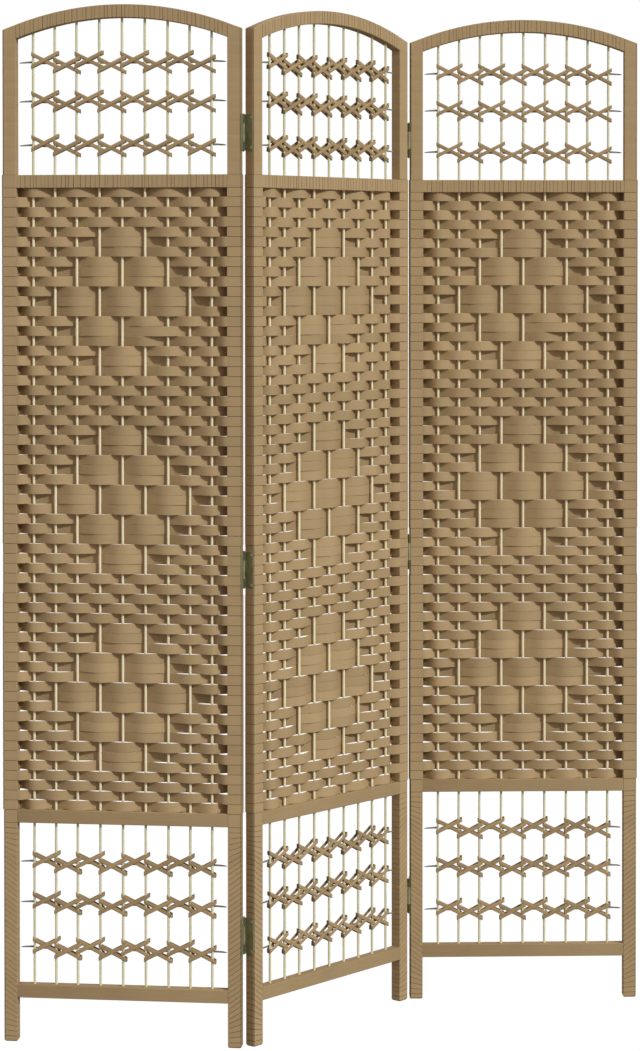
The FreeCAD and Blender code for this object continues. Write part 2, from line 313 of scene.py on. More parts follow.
class HingeSizes(bpy.types.PropertyGroup):
    """Butt hinges between the panels."""

    leaf_width: length("Leaf width", "Width of a leaf over the post's side", 0.0186)
    leaf_thick: length("Leaf thickness", "Thickness of a leaf", 0.0010)
    leaf_corner: length("Leaf corner", "Rounding of a leaf's corners", 0.0018)
    leaf_edge: length("Leaf edge", "Rounding of a leaf's edges", 0.0002)
    neck_lap: length("Neck lap", "How far the neck of a knuckle laps its leaf", 0.00052)
    neck_corner: length("Neck corner", "Rounding of a neck's corners", 0.0003)
    barrel_radius: length("Barrel radius", "Outer radius of a knuckle", 0.0022)
    bore_radius: length("Bore radius", "Inner radius of a knuckle", 0.001166)
    barrel_edge: length("Barrel edge", "Rounding of a knuckle's rims", 0.0002585)
    barrel_sides: whole_number("Barrel sides", "Sides of a knuckle", 24)
    barrel_gap: length("Barrel gap", "Room between a leaf and the other leaf's knuckle", 0.0004)
    end_knuckle: length("End knuckle", "Length of the two outer knuckles", 0.0150)
    knuckle_gap: length("Knuckle gap", "Gap between two knuckles", 0.0003)
    pin_radius: length("Pin radius", "Radius of the hinge pin", 0.0011)
    pin_head: length("Pin head", "Height of the pin's domed head", 0.0012)
    pin_head_radius: length("Pin head radius", "Radius of the pin's domed head", 0.002024)
    pin_sides: whole_number("Pin sides", "Sides of a pin", 20)
    pin_tone: share("Pin tone", "Tone of the pins", 0.5)
    leaf_tone: share("Leaf tone", "Tone of the leaves", 0.0)
    end_tone: share("End tone", "Tone of the outer knuckles", -1.0)
    middle_tone: share("Middle tone", "Tone of the middle knuckle", 0.5)
    # Painted shadow round a screw and in its recess, and a painted highlight on its head
    painted_shadow_ring: share("Washer", "Radius of the dark ring round a screw, as a share of its head", 1.35)
    painted_shadow_tone: share("Washer tone", "Tone of that ring", -2.0)
    screw_painted_highlight: share("Screw tone", "Tone of the screws' heads", 2.6)
    screw_radius: length("Screw radius", "Radius of a screw head", 0.0026)
    screw_rise: length("Screw rise", "How far a screw head's dome stands off the leaf", 0.0002)
    screw_sunk: length("Screw sunk", "How deep a screw sits in its leaf", 0.0004)
    screw_inset: length("Screw inset", "Distance of a screw from the leaf's long edge", 0.0030)
    screw_end: length("Screw end", "Distance of a screw from the leaf's ends", 0.0054)
    slot_reach: share("Slot reach", "Reach of the cross recess, as a share of the head's radius", 0.62)
    slot_half: share("Slot half", "Half the width of its arms, as a share of the head's radius", 0.16)
    slot_depth: length("Slot depth", "How far the recess reaches below the leaf's face", 0.00016)


class ScreenColours(bpy.types.PropertyGroup):
    """Colours of the finishes."""

    fibre_light: colour("Light fibre", "Fibre strip at its palest", (0.60, 0.422, 0.224))
    fibre_dark: colour("Dark fibre", "Fibre strip in its darkest streaks and seams", (0.092, 0.062, 0.024))
    rod_light: colour("Light rod", "Bare rods at their palest", (0.96, 0.86, 0.60))
    rod_dark: colour("Dark rod", "Grain of the bare rods", (0.64, 0.65, 0.40))
    wire_brown: colour("Brown wire", "Band behind the ties", (0.44, 0.305, 0.165))
    wire_grey: colour("Grey wire", "Bare tips of the wires", (0.25, 0.255, 0.21))
    brass_light: colour("Light brass", "Hinges where they are rubbed", (0.66, 0.60, 0.38))
    brass_dark: colour("Dark brass", "Tarnish of the hinges", (0.11, 0.115, 0.04))
    floor: colour("Floor", "Pale studio floor", (0.95, 0.95, 0.95))
    floor_shade: colour("Floor shade", "What the floor gives back of the light", (0.02, 0.02, 0.02))


class StageSettings(bpy.types.PropertyGroup):
    """Camera, floor and light."""

    camera_place: place_or_direction("Camera", "Where the camera stands", (0.5927, -4.7130, 1.2799))
    camera_turn: angle("Turn", "Turn to the left of straight ahead", 6.541)
    camera_dip: angle("Dip", "How far the view dips", 0.942)
    camera_lens: share("Lens", "Focal length in millimetres on a sensor 36 millimetres high", 95.91)
    shift_across: share("Shift across", "The photograph's own shift across", -0.0384)
    shift_up: share("Shift up", "The photograph's own shift upwards", -0.2036)
    sun_from: place_or_direction("Sun", "Direction towards the main light", (0.675, -0.528, 0.515))
    sun_strength: share("Sun strength", "Strength of the main light", 1.93)
    sun_colour: colour("Sun colour", "Colour of the main light", (0.94, 1.0, 1.0))
    sky_colour: colour("Sky colour", "Colour of the soft light", (1.0, 0.91, 0.88))
    sun_angle: angle("Sun size", "Apparent size of the main light", 3)
    sky_strength: share("Sky strength", "Strength of the soft light from above", 0.60)
    ground_share: share("Ground share", "Strength of the light from below, as a share of the sky's", 0.30)
    sky_foot: share("Sky foot", "Where the sky's light starts to fade, as the sine of its height", -0.35)
    floor_reach: length("Floor reach", "Half the floor's width", 30.0)
    floor_glow: share("Floor glow", "How brightly the floor shines by itself", 1.05)


class Solid:
    """Points, faces and tones of one piece while it is built."""

    def __init__(self):
        self.points = []
        self.faces = []
        self.tones = []

    def ring(self, points, tone):
        """Adds a ring of points with one tone, or a tone for each, and gives their numbers."""
        first = len(self.points)
        self.points += [tuple(point) for point in points]
        self.tones += tone if isinstance(tone, list) else [tone] * len(points)
        return list(range(first, len(self.points)))

    def sweep(self, sections, tones, endless=False):
        """A closed form through a list of sections, capped at its ends or endless."""
        rings = [self.ring(points, tone) for points, tone in zip(sections, tones)]
        following = rings[1:] + rings[:1] if endless else rings[1:]
        for low, high in zip(rings, following):
            for index in range(len(low)):
                after = (index + 1) % len(low)
                self.faces.append((low[index], low[after], high[after], high[index]))
        if not endless:
            self.faces.append(tuple(reversed(rings[0])))
            self.faces.append(tuple(rings[-1]))

    def mesh(self, name, sharp=SHARP):
        """The finished mesh, with a tone for each point."""
        mesh = bpy.data.meshes.new(name)
        mesh.from_pydata(self.points, [], self.faces)
        shape = bmesh.new()
        shape.from_mesh(mesh)
        bmesh.ops.recalc_face_normals(shape, faces=shape.faces)
        shape.to_mesh(mesh)
        shape.free()
        tone = mesh.attributes.new("tone", "FLOAT", "POINT")
        tone.data.foreach_set("value", self.tones)
        mesh.polygons.foreach_set("use_smooth", [True] * len(mesh.polygons))
        mesh.set_sharp_from_angle(angle=sharp)
        return mesh


def place(mesh, name, matrix, body, node, slot, finish):
    """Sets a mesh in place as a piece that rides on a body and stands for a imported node, if it has one."""
    piece = bpy.data.objects.new(name, mesh)
    bpy.context.scene.collection.objects.link(piece)
    if not mesh.materials:
        mesh.materials.append(finish)
    piece.matrix_world = matrix
    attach(piece, body)
    if node:
        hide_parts(node)


def place_on_panels(mesh, part, word, slot, finish):
    """Sets the same piece in all three panels."""
    for panel in PANELS:
        node = f"{panel}_{part}"
        place(mesh, f"{node}_{word}", panel_places[panel], panel, node, slot, finish)


class Field:
    """A value that changes over a surface: a socket that takes part in Python expressions."""

    def __init__(self, finish, socket):
        self.finish = finish
        self.socket = socket

    def maths(self, operation, first, second):
        """A Math node on two values."""
        return self.finish.node("ShaderNodeMath", {"operation": operation}, {0: first, 1: second})

    def __add__(self, other):
        return self.maths("ADD", self, other)

    def __radd__(self, other):
        return self.maths("ADD", other, self)

    def __sub__(self, other):
        return self.maths("SUBTRACT", self, other)

    def __rsub__(self, other):
        return self.maths("SUBTRACT", other, self)

    def __mul__(self, other):
        return self.maths("MULTIPLY", self, other)

    def __rmul__(self, other):
        return self.maths("MULTIPLY", other, self)


# Numbers of the colour sockets of a Mix node
MIX_DARK, MIX_LIGHT, MIX_RESULT = 6, 7, 2


class Finish:
    """The nodes of a material or of the world."""

    def __init__(self, owner):
        owner.use_nodes = True
        self.owner = owner
        self.tree = owner.node_tree
        self.tree.nodes.clear()

    def node(self, kind, settings=None, inputs=None, output=0):
        """Adds a node with its settings and the values or links of its sockets."""
        made = self.tree.nodes.new(kind)
        for key, value in (settings or {}).items():
            setattr(made, key, value)
        for key, value in (inputs or {}).items():
            if isinstance(value, Field):
                self.tree.links.new(value.socket, made.inputs[key])
            else:
                made.inputs[key].default_value = value
        return Field(self, made.outputs[output]) if len(made.outputs) else None

    def grain(self, scale, detail=3.0):
        """Noise over the piece's own coordinates, stretched by a scale for each axis."""
        place_on_piece = self.node("ShaderNodeTexCoord", output="Object")
        stretched = self.node("ShaderNodeMapping", {}, {"Vector": place_on_piece, "Scale": scale})
        return self.node("ShaderNodeTexNoise", {}, {"Vector": stretched, "Scale": 1.0, "Detail": detail})

    def tone(self):
        """The tone that each point of a piece was given."""
        return self.node("ShaderNodeAttribute", {"attribute_name": "tone"}, output="Fac")

    def blend(self, factor, dark, light):
        """A colour between two."""
        inputs = {"Factor": factor, MIX_DARK: (*dark, 1), MIX_LIGHT: (*light, 1)}
        return self.node("ShaderNodeMix", {"data_type": "RGBA"}, inputs, MIX_RESULT)

    def bump(self, height, strength, distance):
        """A fine relief."""
        inputs = {"Height": height, "Strength": strength, "Distance": distance}
        return self.node("ShaderNodeBump", {}, inputs)

    def surface(self, **sockets):
        """Ends the material with its shader."""
        names = {key.replace("_", " "): value for key, value in sockets.items()}
        shader = self.node("ShaderNodeBsdfPrincipled", {}, names)
        self.node("ShaderNodeOutputMaterial", {}, {"Surface": shader})
        return self.owner


# Waves of each grain in a metre of its piece, along X, Y and Z
LEVEL_STREAKS = (25.0, 25.0, 1600.0)
UPRIGHT_STREAKS = (2600.0, 25.0, 25.0)
FIBRE_BLOTCHES = (14.0, 14.0, 14.0)
FIBRE_SPECKS = (900.0, 900.0, 900.0)
ROD_GRAIN = (900.0, 900.0, 9.0)
ROD_CLOUDS = (30.0, 30.0, 5.0)
WIRE_SCRATCHES = (60.0, 900.0, 900.0)
BRASS_PATCHES = (160.0, 160.0, 90.0)
BRASS_BRUSHING = (1500.0, 1500.0, 60.0)


def finish_once(name, make):
    """A finish that is made the first time that it is asked for."""
    return bpy.data.materials.get(name) or make(name)


def fibre(name, streaks):
    """Matte paper fibre with streaks along the strip and a slow change of tone."""
    colours = bpy.context.scene.screen_colours
    finish = Finish(bpy.data.materials.new(name))
    streak = finish.grain(streaks)
    blotch = finish.grain(FIBRE_BLOTCHES, detail=1.0)
    speck = finish.grain(FIBRE_SPECKS, detail=2.0)
    # The tone of each point holds random tones, and painted shade and light of seams, corners, recesses and
    # edges
    value = 0.50 + finish.tone() * 0.30 + streak * 0.22 + blotch * 0.16 + speck * 0.10
    return finish.surface(
        Base_Color=finish.blend(value, colours.fibre_dark, colours.fibre_light),
        Roughness=0.86 - streak * 0.14,
        Specular_IOR_Level=0.22,
        Normal=finish.bump(streak + speck * 0.5, strength=0.30, distance=0.00030),
    )


def level_fibre(name):
    """Fibre whose streaks run level, as on the strips and the wraps of the posts."""
    return fibre(name, LEVEL_STREAKS)


def upright_fibre(name):
    """Fibre whose streaks run up and down, as on the wraps of the rails."""
    return fibre(name, UPRIGHT_STREAKS)


def bare_rod(name):
    """Pale bare wood with a long grain."""
    colours = bpy.context.scene.screen_colours
    finish = Finish(bpy.data.materials.new(name))
    grain = finish.grain(ROD_GRAIN)
    cloud = finish.grain(ROD_CLOUDS, detail=1.0)
    value = 0.30 + grain * 0.55 + cloud * 0.40 + finish.tone() * 0.25
    return finish.surface(
        Base_Color=finish.blend(value, colours.rod_dark, colours.rod_light),
        Roughness=0.62 - grain * 0.16,
        Specular_IOR_Level=0.35,
        Normal=finish.bump(grain, strength=0.25, distance=0.00015),
    )


def dull_wire(name):
    """Wire that goes from brown in the middle to bare grey at its tips."""
    colours = bpy.context.scene.screen_colours
    finish = Finish(bpy.data.materials.new(name))
    scratch = finish.grain(WIRE_SCRATCHES)
    value = finish.tone() + scratch * 0.3 - 0.15
    return finish.surface(
        Base_Color=finish.blend(value, colours.wire_brown, colours.wire_grey),
        Roughness=0.42 + scratch * 0.25,
        Normal=finish.bump(scratch, strength=0.15, distance=0.00010),
    )


def aged_brass(name):
    """Tarnished brass, rubbed brighter in patches."""
    colours = bpy.context.scene.screen_colours
    finish = Finish(bpy.data.materials.new(name))
    patch = finish.grain(BRASS_PATCHES)
    brushed = finish.grain(BRASS_BRUSHING, detail=2.0)
    # The tone of each point holds the knuckles' and pins' tones, and the screws' painted highlight and
    # shadow
    value = patch * 0.60 - 0.08 + brushed * 0.20 + finish.tone() * 0.35
    return finish.surface(
        Base_Color=finish.blend(value, colours.brass_dark, colours.brass_light),
        Roughness=0.62 - patch * 0.30,
        Metallic=0.35,
        Normal=finish.bump(brushed, strength=0.20, distance=0.00010),
    )


def smooth_step(value):
    """Eases from 0 to 1."""
    value = min(max(value, 0.0), 1.0)
    return value * value * (3 - 2 * value)


def post_section(wraps, offset, outward):
    """Outline of the left post as (x, y, rubbed): its outer corners are cut off, and painted shade darkens
    them.
    """
    outer, inner = -outward, post_width + offset
    side = half_depth + offset
    cut, small = wraps.corner, wraps.inner_corner
    past = cut + wraps.corner_line
    return [
        (outer + past, -side, 0.0),
        (inner - small, -side, 0.0),
        (inner, small - side, 0.0),
        (inner, side - small, 0.0),
        (inner - small, side, 0.0),
        (outer + past, side, 0.0),
        (outer + cut, side, 1.0),
        (outer, side - cut, 1.0),
        (outer, side - past, wraps.side_painted_shade),
        (outer, past - side, wraps.side_painted_shade),
        (outer, cut - side, 1.0),
        (outer + cut, -side, 1.0),
    ]


def row_edges(weave):
    """Foot and head of each row of the weave, from the upper rail down.

    The rails take up part of the outer rows.
    """
    zone_top, zone_foot = upper_low.z + weave.tuck_top, lower_high.z - weave.tuck_foot
    pitch = (zone_top - zone_foot) / weave.rows
    edges = []
    for row in range(weave.rows):
        head = zone_top - row * pitch
        edges.append((max(head - pitch, lower_high.z), min(head, upper_low.z)))
    return edges


def beside_hinge(foot, head):
    """True for a turn that a hinge leaf presses flat."""
    reach = hinge_length / 2 + head - foot
    return any(abs((foot + head) / 2 - height) < reach for height in hinge_heights)


class Turn(NamedTuple):
    """One turn of a post's wrap.

    It has its heights, the depth of its seam, its slope across the post, and how far it stands proud of
    the timber in general and on the outer side.
    """

    foot: float
    head: float
    depth: float
    slant: float = 0.0
    proud: float = 0.0
    outward: float = 0.0


def post_turns(wraps, weave):
    """Turns of a post's wrap from the floor up."""
    turns = []
    leg_top = lower_low.z
    count = round(leg_top / wraps.leg_turn)
    for number in range(count):
        foot, head = leg_top * number / count, leg_top * (number + 1) / count
        along = head / leg_top
        eased = smooth_step(along / wraps.leg_ease) * smooth_step((1 - along) / wraps.leg_ease)
        turns.append(Turn(foot, head, wraps.seam_depth, slant=-wraps.leg_slant * eased))
    turns.append(Turn(lower_low.z, lower_high.z, wraps.seam_depth))
    for foot, head in reversed(row_edges(weave)):
        outward = wraps.proud if beside_hinge(foot, head) else wraps.side_proud
        turns.append(Turn(foot, head, wraps.seam_depth, proud=wraps.proud, outward=outward))
    upper = Turn(upper_low.z, upper_high.z, wraps.seam_depth, proud=wraps.proud, outward=wraps.side_proud)
    turns.append(upper)
    top = arch_end - post_width * shoulder_slope
    count = round((top - upper_high.z) / rail_height)
    for number in range(count):
        foot = upper_high.z + (top - upper_high.z) * number / count
        head = upper_high.z + (top - upper_high.z) * (number + 1) / count
        turns.append(Turn(foot, head, wraps.faint_depth))
    return turns


def post_mesh(wraps, weave, mirror):
    """A post in its wrap, with cut edges under its foot and a sloped head that runs on into the arch."""
    solid = Solid()
    dice = random.Random(wraps.seed + mirror)
    sections, tones = [], []

    def add(height, slant, offset, outward, tone):
        ring, shades = [], []
        # rubbed is the share of painted shade: full on the cut corners, less on the outer side between two
        # panels
        for x, y, rubbed in post_section(wraps, offset, outward):
            across = panel_width - x if mirror else x
            ring.append((across, y, height + slant * (x - post_width / 2)))
            shades.append(tone - wraps.corner_painted_shade * rubbed)
        sections.append(ring)
        tones.append(shades)

    add(0.0, 0.0, -wraps.foot_inset, -wraps.foot_inset, wraps.foot_tone)
    add(wraps.foot_cut, 0.0, 0.0, 0.0, 0.0)
    slant_before = 0.0
    lip, floor = wraps.seam_width / 2, wraps.seam_width / 4
    for turn in post_turns(wraps, weave):
        strength = turn.depth / wraps.seam_depth
        tone = dice.uniform(-wraps.turn_tones, wraps.turn_tones) * strength
        # Painted shade in the groove of the seam
        groove = tone - wraps.seam_painted_shade * strength
        add(max(turn.foot, wraps.foot_cut) + lip, slant_before, turn.proud, turn.outward, tone)
        add(turn.head - lip, turn.slant, turn.proud, turn.outward, tone)
        for height in (turn.head - floor, turn.head + floor):
            add(height, turn.slant, turn.proud - turn.depth, turn.outward - turn.depth, groove)
        slant_before = turn.slant
    middle_top = arch_end - shoulder_slope * post_width / 2
    add(middle_top - wraps.inner_corner, shoulder_slope, 0.0, 0.0, 0.0)
    add(middle_top, shoulder_slope, -wraps.inner_corner, -wraps.inner_corner, 0.0)
    solid.sweep(sections, tones)
    return solid.mesh("right_post" if mirror else "left_post", wraps.crisp)


def rail_section(x, top, foot, front, back, offset, corner):
    """Upright cut through a rail at one place along it."""
    top, foot, front, back = top + offset, foot - offset, front - offset, back + offset
    return [
        (x, front + corner, top),
        (x, back - corner, top),
        (x, back, top - corner),
        (x, back, foot + corner),
        (x, back - corner, foot),
        (x, front + corner, foot),
        (x, front, foot + corner),
        (x, front, top - corner),
    ]


def arch_heights(x):
    """Top and underside of the arch at a place along it."""
    away = (x - panel_middle) ** 2
    inner = arch_radius - rail_height
    return arch_centre + math.sqrt(arch_radius**2 - away), arch_centre + math.sqrt(inner**2 - away)


def upper_heights(x):
    """Top and underside of the upper cross rail, which are the same at every place along it."""
    return upper_high.z, upper_low.z


def wrapped_rail(name, heights, wraps, seed):
    """A rail wound with turns of uneven width."""
    dice = random.Random(seed)
    seams = [inner_left]
    while inner_right - seams[-1] > wraps.rail_turn_most:
        seams.append(seams[-1] + dice.uniform(wraps.rail_turn_least, wraps.rail_turn_most))
    seams.append(inner_right)
    lip, floor = wraps.rail_seam / 2, wraps.rail_seam / 4
    solid = Solid()
    sections, tones = [], []

    def add(x, offset, tone):
        top, foot = heights(x)
        sections.append(rail_section(x, top, foot, -half_depth, half_depth, offset, wraps.inner_corner))
        tones.append(tone)

    # Painted shade at both ends, where the rail meets the posts
    add(inner_left, -wraps.seam_depth, -wraps.seam_painted_shade)
    for start, end in zip(seams, seams[1:]):
        tone = dice.uniform(-wraps.rail_tones, wraps.rail_tones)
        strength = dice.uniform(wraps.seam_least, 1.0) if end < inner_right else 1.0
        # Painted shade in the groove of the seam
        groove = tone - wraps.seam_painted_shade * strength
        add(start + lip, 0.0, tone)
        add(end - lip, 0.0, tone)
        if end < inner_right:
            add(end - floor, -wraps.seam_depth * strength, groove)
            add(end + floor, -wraps.seam_depth * strength, groove)
    add(inner_right, -wraps.seam_depth, -wraps.seam_painted_shade)
    solid.sweep(sections, tones)
    return solid.mesh(name, wraps.crisp)


def plain_rail(name, low, high, split, wraps):
    """A smooth rail, whole or as two battens that leave room for the rods between them."""
    solid = Solid()
    battens = [(-half_depth, -split), (split, half_depth)] if split else [(-half_depth, half_depth)]
    corner = wraps.inner_corner
    for front, back in battens:
        places = [(inner_left, -corner / 2), (inner_left + corner, 0.0)]
        places += [(inner_right - corner, 0.0), (inner_right, -corner / 2)]
        sections = [rail_section(x, high.z, low.z, front, back, offset, corner) for x, offset in places]
        solid.sweep(sections, [wraps.batten_tone] * len(sections))
    return solid.mesh(name)


def around(sides):
    """Angles of the points of a ring."""
    return [2 * math.pi * number / sides for number in range(sides)]


def upright_bar(solid, x, heights, radii, tones, sides):
    """A round bar of changing radius that stands at a place along X, where Y is 0."""
    sections = []
    for height, radius in zip(heights, radii):
        sections.append([(x - radius * math.sin(t), radius * math.cos(t), height) for t in around(sides)])
    solid.sweep(sections, tones)


def rods_mesh(rods):
    """Round rods, a little uneven, from the bottom rail to the arch. They are paler between the strips."""
    solid = Solid()
    dice = random.Random(rods.seed)
    for x in rods_across:
        lower = (bottom_high.z, lower_low.z, rods.open_tone)
        woven = (lower_high.z, upper_low.z, rods.woven_tone)
        upper = (upper_high.z, arch_heights(x)[1], rods.open_tone)
        shift = dice.uniform(-rods.tones, rods.tones)
        heights, tones = [], []
        for foot, head, tone in (lower, woven, upper):
            heights += [foot + (head - foot) * step / rods.steps for step in range(rods.steps + 1)]
            tones += [tone + shift] * (rods.steps + 1)
        radii = [rod_radius * dice.uniform(rods.thinnest, rods.thickest) for _ in heights]
        upright_bar(solid, x, heights, radii, tones, rods.sides)
    return solid.mesh("warp_rods")


# Raised diamonds of the weave: first row of each, the rods of its blocks, and the strips of a block
DIAMOND_FIRST_ROWS = (5, 25, 45)
DIAMOND_BLOCKS = ((5,), (4, 6), (3, 5, 7), (4, 6), (5,))
BLOCK_STRIPS = 3

# Row and rod of a slip that every panel has: the strip stays in front beside a block
WEAVE_SLIP = (15, 7)


def block_rods(row):
    """Rods at the middle of the blocks that have this row as their middle strip."""
    for first in DIAMOND_FIRST_ROWS:
        block_row, strip = divmod(row - first, BLOCK_STRIPS)
        if strip == BLOCK_STRIPS // 2 and 0 <= block_row < len(DIAMOND_BLOCKS):
            return DIAMOND_BLOCKS[block_row]
    return ()


def in_block(row, rod):
    """True at the middle of a block."""
    return rod in block_rods(row)


def in_front(row, rod):
    """True where a strip is in front of a rod. Rows count down from the upper rail, rods from the left."""
    if in_block(row, rod):
        return True
    if in_block(row, rod - 1) or in_block(row, rod + 1):
        return (row, rod) == WEAVE_SLIP
    return (row + rod) % 2 == 0


def strip_line(row, height, weave, proud):
    """Middle line of one strip, from post to post in and out of the rods."""
    beside_post = half_depth + proud - weave.thick / 2
    end = -beside_post if row % 2 == 0 else beside_post
    stops = [(inner_left, end), (inner_left + weave.flush, end)]
    for number, x in enumerate(rods_across, start=1):
        crest = weave.swing + weave.block_proud * in_block(row, number)
        stops.append((x, -crest if in_front(row, number) else weave.swing))
    stops += [(inner_right - weave.flush, end), (inner_right, end)]
    return [Vector((x, y, height)) for x, y in springy(stops, weave)]


def springy(stops, weave):
    """Points of a smooth line through stops, bent as a springy strip is.

    It is level at both posts, and its slope at a rod follows the stops on both sides. With linger over 1 it
    stays longer at the front than at the back.
    """
    slopes = [0.0, 0.0]
    for (x0, y0), (x1, y1) in zip(stops[1:], stops[3:-1]):
        slopes.append(weave.spring * (y1 - y0) / (x1 - x0))
    slopes += [0.0, 0.0]
    points = []
    for ((x0, y0), (x1, y1)), s0, s1 in zip(zip(stops, stops[1:]), slopes, slopes[1:]):
        run = x1 - x0
        for step in range(weave.steps):
            t = step / weave.steps
            eased = t**weave.linger if y1 > y0 else 1 - (1 - t) ** weave.linger
            rise = y0 + (y1 - y0) * smooth_step(eased)
            bend = run * (s0 * t * (1 - t) ** 2 - s1 * t**2 * (1 - t))
            points.append((x0 + run * t, rise + bend))
    points.append(stops[-1])
    return points


def ribbon(solid, line, half_heights, strip, tones, rims, endless=False):
    """A flat strip that stands on edge and follows a line, with soft edges that have tones of their own.

    At each point, tones holds a tone for the face to the right of the line and one for the other face,
    and rims a tone of painted light and shade for the upper edge and one for the lower edge.
    """
    sections, shades = [], []
    half, edge = strip.thick / 2, strip.edge
    inner = half - edge / 2
    count = len(line)
    for index, point in enumerate(line):
        ahead = line[(index + 1) % count] if endless else line[min(index + 1, count - 1)]
        behind = line[index - 1] if endless else line[max(index - 1, 0)]
        run = Vector((ahead.x - behind.x, ahead.y - behind.y, 0)).normalized()
        out = Vector((run.y, -run.x, 0))
        tall = half_heights[index]
        profile = ((half, tall - edge), (inner, tall), (-inner, tall), (-half, tall - edge))
        profile += ((-half, edge - tall), (-inner, -tall), (inner, -tall), (half, edge - tall))
        sections.append([point + out * away + Vector((0, 0, rise)) for away, rise in profile])
        right, left = tones[index]
        faces = [right if away > 0 else left for away, _ in profile]
        rim_tones = dict(zip((tall, -tall), rims[index]))
        shades.append([face + rim_tones.get(rise, 0.0) for face, (_, rise) in zip(faces, profile)])
    solid.sweep(sections, shades, endless)


def weave_mesh(weave, wraps):
    """All strips of one panel."""
    solid = Solid()
    dice = random.Random(weave.seed)
    reach = weave.block_reach * (rods_across[1] - rods_across[0])
    for row, (foot, head) in enumerate(row_edges(weave), start=1):
        line = strip_line(row, (foot + head) / 2, weave, wraps.proud)
        tone = dice.uniform(-weave.tones, weave.tones)
        depths = [min(max(point.y / weave.swing, -1.0), 1.0) for point in line]
        rises = [weave.hidden_rise * depth if depth > 0 else -weave.crest_rise * depth for depth in depths]
        tall = [(head - foot - weave.gap) / 2 + rise for rise in rises]
        centres = [rods_across[rod - 1] for rod in block_rods(row)]
        tones, rims = [], []
        for point, depth in zip(line, depths):
            # Painted light and shade on the edges, and painted shade on the seam above a block's middle
            # strip
            in_reach = any(abs(point.x - centre) < reach for centre in centres)
            rims.append((weave.block_rim if in_reach else weave.rim_top, weave.rim_foot))
            beside = min(point.x - inner_left, inner_right - point.x)
            shade = weave.shade + weave.end_shade * (1 - smooth_step(beside / weave.end_reach))
            tones.append((tone - shade * max(0.0, depth) ** 2, tone - shade * max(0.0, -depth) ** 2))
        ribbon(solid, line, tall, weave, tones, rims)
    return solid.mesh("weft_strips", weave.crisp)


def tie_loop(ties, bay, level, rise):
    """Middle line of one tie, an endless flat loop round both rods of its bay.

    With it come the painted shades of its outside and its inside at each point.
    A corner of the loop has a place along and through the panel, and the quarter of a circle that it turns
    through.
    """
    left, right = rods_across[bay - 1], rods_across[bay]
    middle = (left + right) / 2
    layer = ties.thick + ties.layer_gap if rise > 0 else 0.0
    front = -(rod_radius + ties.layer_gap + ties.thick / 2 + layer)
    back = rod_radius + 2 * (ties.band_depth + ties.layer_gap) + ties.thick / 2 + layer
    start = left - rod_radius - ties.layer_gap - ties.thick / 2
    end = right + ties.reach_right - ties.thick / 2
    bend = ties.bend
    corners = ((start, front, 2), (end, front, 3), (end, back + ties.spread, 0), (start, back, 1))
    line, shades = [], []
    for x, y, quarter in corners:
        centre_x = x + (bend if x == start else -bend)
        centre_y = y + (bend if y == front else -bend)
        for step in range(ties.bend_steps + 1):
            turn = math.pi / 2 * (quarter + step / ties.bend_steps)
            along, deep = centre_x + bend * math.cos(turn), centre_y + bend * math.sin(turn)
            line.append(Vector((along, deep, level + rise * ties.slope * (along - middle))))
            # Painted shade: the back half of a bend is darker outside, and the inside darkens towards the
            # right end
            behind = smooth_step((deep - front) / (-front))
            outside = ties.left_bend_painted_shade if along < centre_x else ties.right_bend_painted_shade
            inside = ties.shade * smooth_step((along - middle) / (right - middle))
            shades.append((outside * behind, inside))
    return line, shades


def tied_rows(ties):
    """Heights of the tied rows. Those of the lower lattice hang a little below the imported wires."""
    heights = []
    for level in tie_levels:
        below = lower_low.z - level
        heights.append(level - ties.lower_drop - ties.lower_stretch * below if below > 0 else level)
    return heights


def ties_mesh(ties):
    """A crossed pair of loops in every bay of every row, alternately high and low."""
    solid = Solid()
    dice = random.Random(ties.seed)
    half_height = ties.width / 2 * math.sqrt(1 + ties.slope**2)
    for level in tied_rows(ties):
        for bay in range(1, len(rods_across)):
            shift = ties.high if bay % 2 else -ties.low
            for rise in (-1, 1):
                line, shades = tie_loop(ties, bay, level + shift, rise)
                tone = ties.tone + dice.uniform(-ties.tones, ties.tones)
                tones = [(tone - outside, tone - inside) for outside, inside in shades]
                rims = [(ties.rim_top, ties.rim_foot)] * len(line)
                ribbon(solid, line, [half_height] * len(line), ties, tones, rims, endless=True)
    return solid.mesh("tie_strips", ties.crisp)


# Rings of the bare end of a wire, as shares of its length from the tip, and the tones of wire and band
WIRE_RINGS = (0.0, 0.12, 0.35, 0.65, 1.0)
WIRE_TONE = 1.0
BAND_TONE = 0.0


def wires_mesh(ties):
    """Fibre bands behind the rods, whose wires run on to thin bare ends beside the posts."""
    solid = Solid()
    depth = rod_radius + ties.layer_gap + ties.band_depth
    first, last = rods_across[0], rods_across[-1]
    reach = first - inner_left - ties.wire_short
    half = []
    for part in WIRE_RINGS:
        tall = ties.wire_tip + (ties.wire_height - ties.wire_tip) * part**ties.wire_taper
        drop = ties.wire_droop * (1 - part) ** 2
        half.append((first - reach * (1 - part), tall, drop, WIRE_TONE))
    half.append((first + 2 * ties.wire_height, ties.band_height, ties.band_drop, BAND_TONE))
    mirrored = [(first + last - x, tall, drop, tone) for x, tall, drop, tone in reversed(half)]
    turns = around(ties.wire_sides)
    for level in tied_rows(ties):
        sections, tones = [], []
        for x, tall, drop, tone in half + mirrored:
            deep, middle = min(tall, ties.band_depth), level + ties.wire_lift - drop
            sections.append([(x, depth + deep * math.cos(t), middle + tall * math.sin(t)) for t in turns])
            tones.append(tone)
        solid.sweep(sections, tones)
    return solid.mesh("tie_wires")


